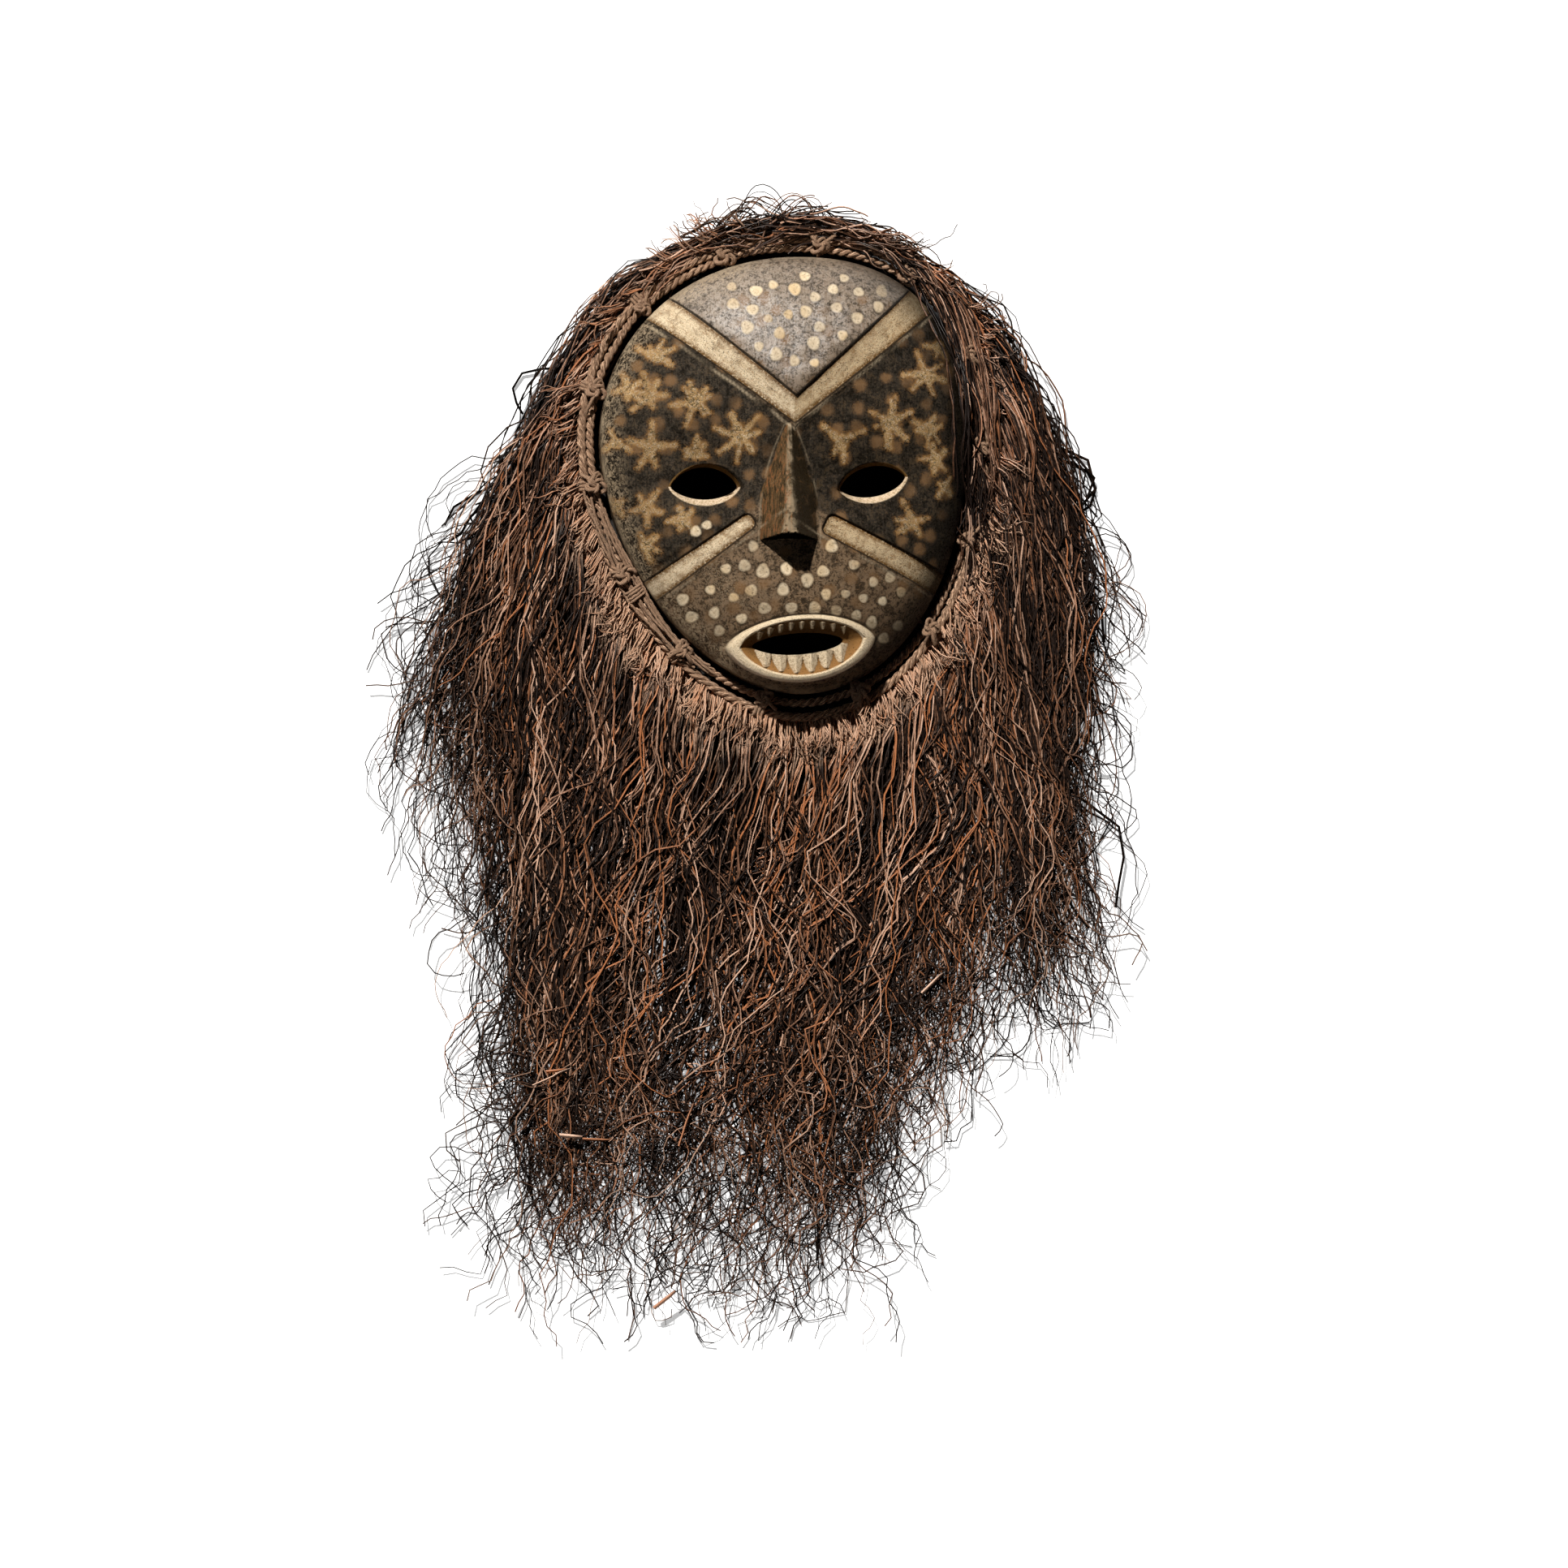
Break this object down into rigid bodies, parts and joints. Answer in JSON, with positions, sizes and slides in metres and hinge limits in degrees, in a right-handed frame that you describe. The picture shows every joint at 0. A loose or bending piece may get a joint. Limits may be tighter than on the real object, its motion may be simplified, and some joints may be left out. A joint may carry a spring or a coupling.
{
  "type": "ituri mask",
  "caption": "Hollow carved wooden face mask with eye holes, a wedge nose and an open toothed mouth, lying face up, with a long fringe of plant fibre tied round its rim.",
  "frame": {"origin": "under the middle of the whole object's box, on the surface that the mask lies on", "axes": "+X to the right of the face as a viewer sees it, +Y from the chin to the crown, +Z out of the face and up as the mask lies"},
  "size_m": [0.4138, 0.6328, 0.0843],
  "materials": {
    "wood": "dark polished wood with cream painted bars, dots and star marks, rubbed pale along its edges",
    "cord": "dull twisted bast cord, tan and dusty",
    "fibre": "dry reddish-brown plant fibre, slightly glossy on its ridges"
  },
  "bodies": {
    "root": {"mask": "wood", "rim_cord": "cord", "fringe_cord": "cord", "lashing_01": "cord", "lashing_02": "cord", "lashing_03": "cord", "lashing_04": "cord", "lashing_05": "cord", "lashing_06": "cord", "lashing_07": "cord", "lashing_08": "cord", "lashing_09": "cord", "lashing_10": "cord", "lashing_11": "cord", "lashing_12": "cord", "lashing_13": "cord", "lashing_14": "cord", "hair_left": "fibre", "beard_left": "fibre", "beard_right": "fibre", "hair_right": "fibre", "crest": "fibre"}
  },
  "joints": []
}
